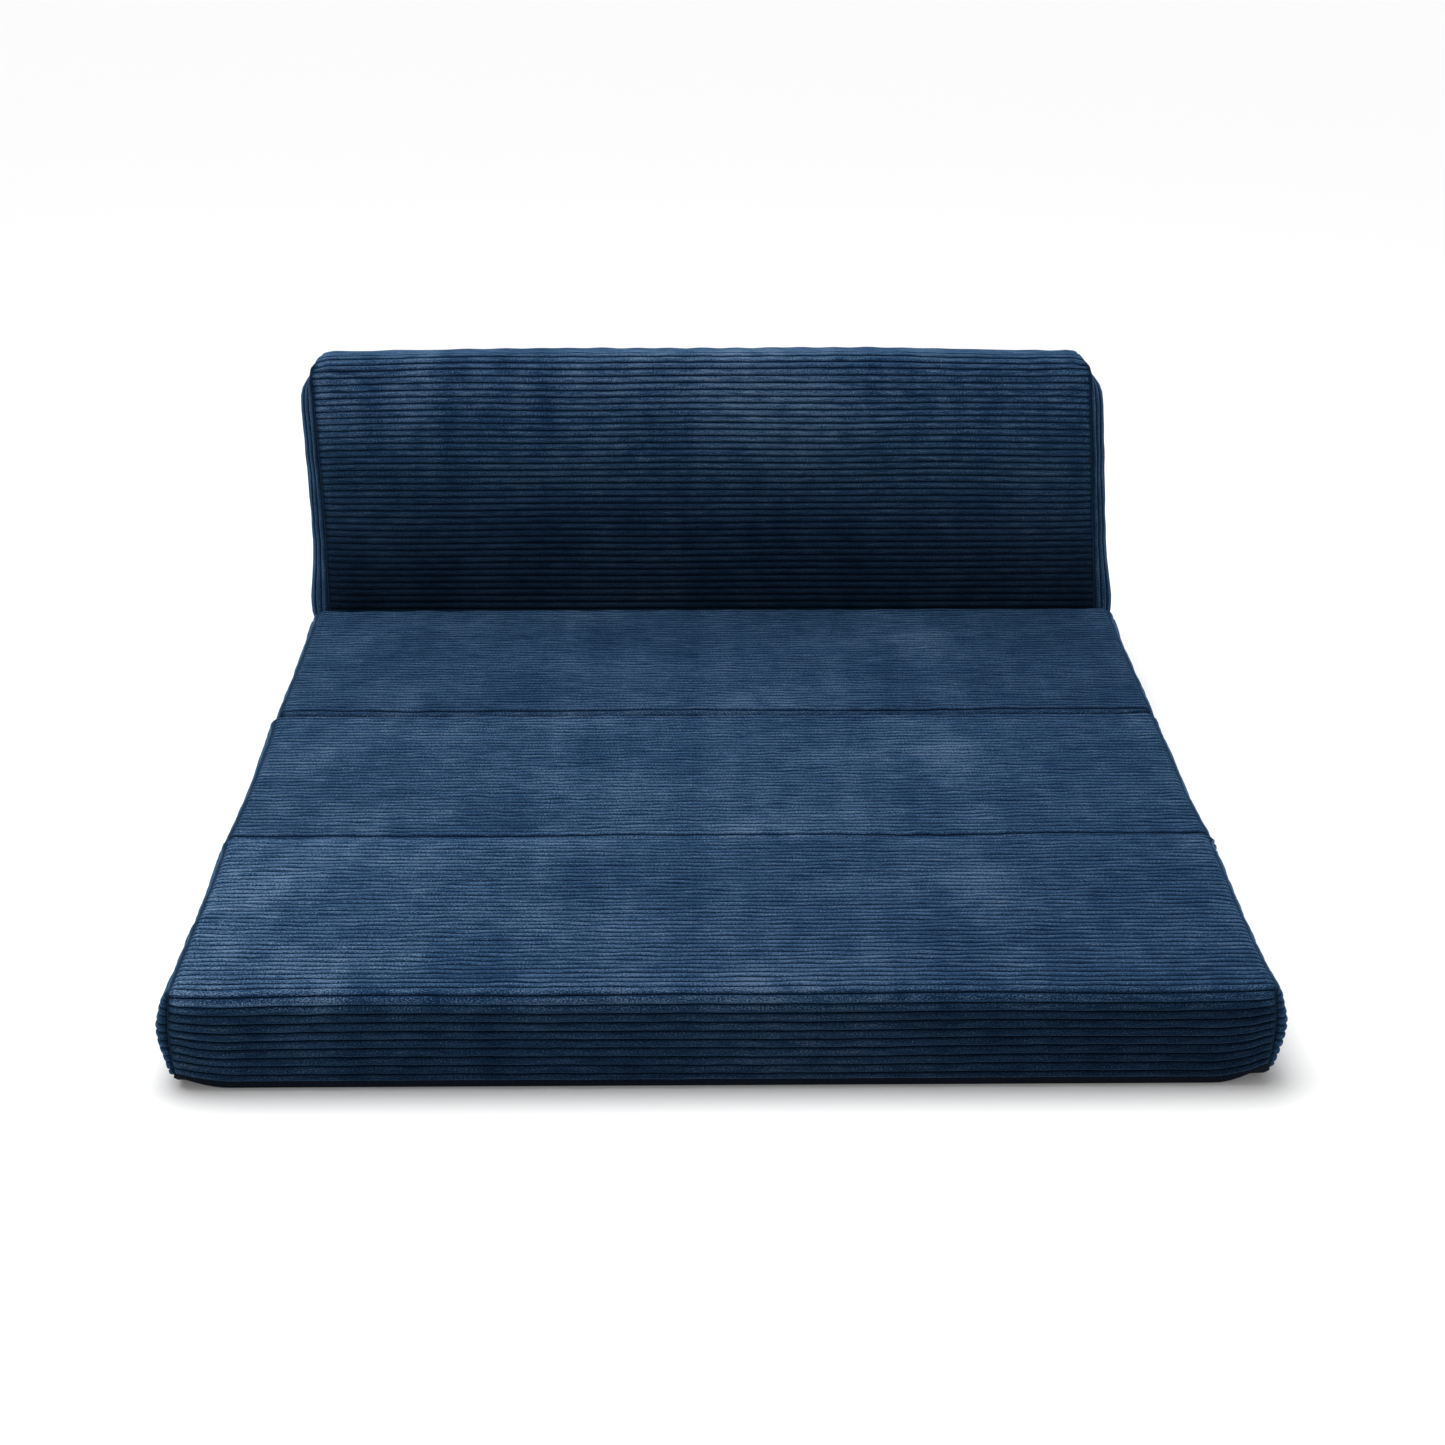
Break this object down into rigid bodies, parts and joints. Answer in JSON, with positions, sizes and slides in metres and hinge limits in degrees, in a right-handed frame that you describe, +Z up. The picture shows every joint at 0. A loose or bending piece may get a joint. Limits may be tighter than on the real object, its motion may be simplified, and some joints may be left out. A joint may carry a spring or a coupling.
{
  "type": "futon mattress",
  "caption": "Fold-out floor sofa mattress in wide-wale corduroy: a row of foam sections that fold in a Z and a back that stands on a ratchet frame.",
  "frame": {"origin": "centre of the rear section's underside, on the floor", "axes": "+Z up, +Y from the front section towards the back, +X to the right of someone facing the sofa"},
  "size_m": [1.3968, 1.6884, 0.5414],
  "materials": {
    "corduroy": "matte",
    "base_cloth": "matte",
    "foam": "matte",
    "wadding": "matte",
    "zip_tape": "matte",
    "seam_thread": "matte",
    "zip_metal": "satin",
    "painted_tube": "satin",
    "zinc_plate": "satin"
  },
  "bodies": {
    "rear_section": {"rear_foam": "foam", "rear_wadding": "wadding", "rear_cover": "corduroy", "rear_base_panel": "base_cloth", "rear_border_left": "corduroy", "rear_border_right": "corduroy", "rear_zip_tape": "zip_tape", "upper_fold_seam": "seam_thread", "seat_frame": "painted_tube", "seat_cross_tube": "painted_tube", "ratchet_plate_left": "zinc_plate", "ratchet_pawl_left": "zinc_plate", "ratchet_pivot_left": "zinc_plate", "pawl_pin_left": "zinc_plate", "ratchet_plate_right": "zinc_plate", "ratchet_pawl_right": "zinc_plate", "ratchet_pivot_right": "zinc_plate", "pawl_pin_right": "zinc_plate"},
    "middle_section": {"middle_foam": "foam", "middle_wadding": "wadding", "middle_cover": "corduroy", "middle_base_panel": "base_cloth", "middle_border_left": "corduroy", "middle_border_right": "corduroy", "middle_zip_tape": "zip_tape", "lower_fold_seam": "seam_thread"},
    "front_section": {"front_foam": "foam", "front_wadding": "wadding", "front_cover": "corduroy", "front_base_panel": "base_cloth", "front_border_left": "corduroy", "front_border_right": "corduroy", "front_zip_tape": "zip_tape"},
    "back_section": {"back_foam": "foam", "back_wadding": "wadding", "back_cover": "corduroy", "back_foot_cloth": "base_cloth", "back_border_left": "corduroy", "back_border_right": "corduroy", "back_zip_tape": "zip_tape", "back_frame": "painted_tube", "back_cross_tube": "painted_tube", "ratchet_arm_left": "zinc_plate", "ratchet_arm_right": "zinc_plate"},
    "rear_zip": {"rear_zip_slider": "zip_metal", "rear_zip_pull": "zip_metal"},
    "middle_zip": {"middle_zip_slider": "zip_metal", "middle_zip_pull": "zip_metal"},
    "front_zip": {"front_zip_slider": "zip_metal", "front_zip_pull": "zip_metal"},
    "back_zip": {"back_zip_slider": "zip_metal", "back_zip_pull": "zip_metal"}
  },
  "joints": [
    {"name": "back_recline", "type": "hinge", "parent": "rear_section", "child": "back_section", "pos_m": [0, 0.32151, 0.065], "axis": [1, 0, 0], "range_deg": [-82, 0]},
    {"name": "fold_rear_middle", "type": "hinge", "parent": "rear_section", "child": "middle_section", "pos_m": [0, -0.25501, 0.1305], "axis": [-1, 0, 0], "range_deg": [0, 180]},
    {"name": "fold_middle_front", "type": "hinge", "parent": "middle_section", "child": "front_section", "pos_m": [0, -0.74801, -0.0005], "axis": [-1, 0, 0], "range_deg": [-180, 0]},
    {"name": "rear_zip_travel", "type": "slide", "parent": "rear_section", "child": "rear_zip", "axis": [0, 1, 0], "range_m": [-0.42503, 0]},
    {"name": "middle_zip_travel", "type": "slide", "parent": "middle_section", "child": "middle_zip", "axis": [0, 1, 0], "range_m": [-0.408, 0]},
    {"name": "front_zip_travel", "type": "slide", "parent": "front_section", "child": "front_zip", "axis": [0, 1, 0], "range_m": [-0.408, 0]},
    {"name": "back_zip_travel", "type": "slide", "parent": "back_section", "child": "back_zip", "axis": [1, 0, 0], "range_m": [-0.978, 0]}
  ],
  "couplings": [
    {"joint": "fold_middle_front", "follows": "fold_rear_middle", "ratio": -1}
  ]
}
